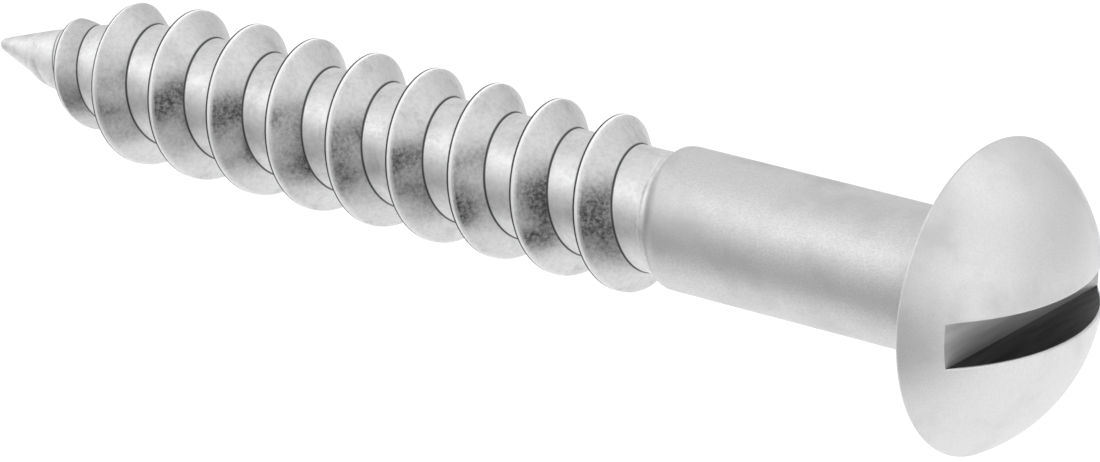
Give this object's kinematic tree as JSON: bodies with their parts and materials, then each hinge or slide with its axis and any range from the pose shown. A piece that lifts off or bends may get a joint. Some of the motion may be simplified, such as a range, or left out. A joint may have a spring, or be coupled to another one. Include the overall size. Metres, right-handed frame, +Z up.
{
  "type": "wood screw",
  "caption": "Slotted round-head wood screw: domed head with a flat underside, plain shank, coarse tapering thread and a gimlet point.",
  "frame": {"origin": "centre of the flat bearing face under the head, on the screw's axis", "axes": "X along the screw, crown of the head towards +X and point towards -X; the driver slot runs along Y; +Z up"},
  "size_m": [0.038, 0.0086, 0.0088],
  "materials": {
    "plated_steel": "satin light-grey plating"
  },
  "bodies": {
    "root": {"slotted_head": "plated_steel", "shank": "plated_steel", "threaded_core": "plated_steel", "gimlet_point": "plated_steel", "thread_ridge": "plated_steel"}
  },
  "joints": []
}
